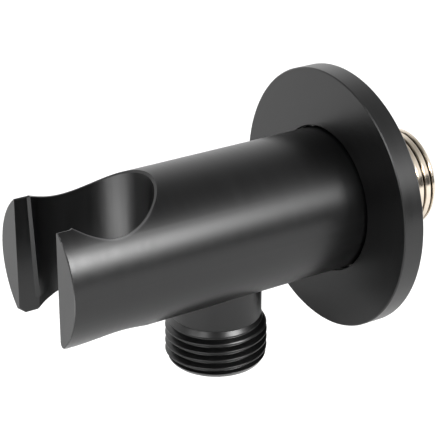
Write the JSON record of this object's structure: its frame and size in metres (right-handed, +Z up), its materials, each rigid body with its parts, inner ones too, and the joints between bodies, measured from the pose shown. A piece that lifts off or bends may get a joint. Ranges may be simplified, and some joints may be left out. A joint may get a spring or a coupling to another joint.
{
  "type": "wall outlet elbow",
  "caption": "Satin black wall outlet elbow: a round bar with a push-on wall flange, a threaded wall inlet, a threaded hose outlet below and a forked hand-shower cradle at its free end.",
  "frame": {"origin": "on the body's axis, in the wall plane (the flange's back face)", "axes": "+Y along the body's axis into the wall, +Z up, so the hose outlet points down along -Z and the cradle is at the -Y end"},
  "size_m": [0.055, 0.0885, 0.0567],
  "materials": {
    "satin_black": "satin, finely brushed around the bar",
    "pale_brass": "bright machined",
    "black_rubber": "matte"
  },
  "bodies": {
    "elbow": {"body": "satin_black", "inlet_nipple": "pale_brass", "inlet_gasket": "black_rubber", "outlet_nipple": "satin_black", "outlet_o_ring": "black_rubber"},
    "flange": {"wall_flange": "satin_black", "flange_o_ring": "black_rubber"}
  },
  "joints": [
    {"name": "flange_slide", "type": "slide", "parent": "elbow", "child": "flange", "axis": [0, -1, 0], "range_m": [0, 0.015]}
  ]
}
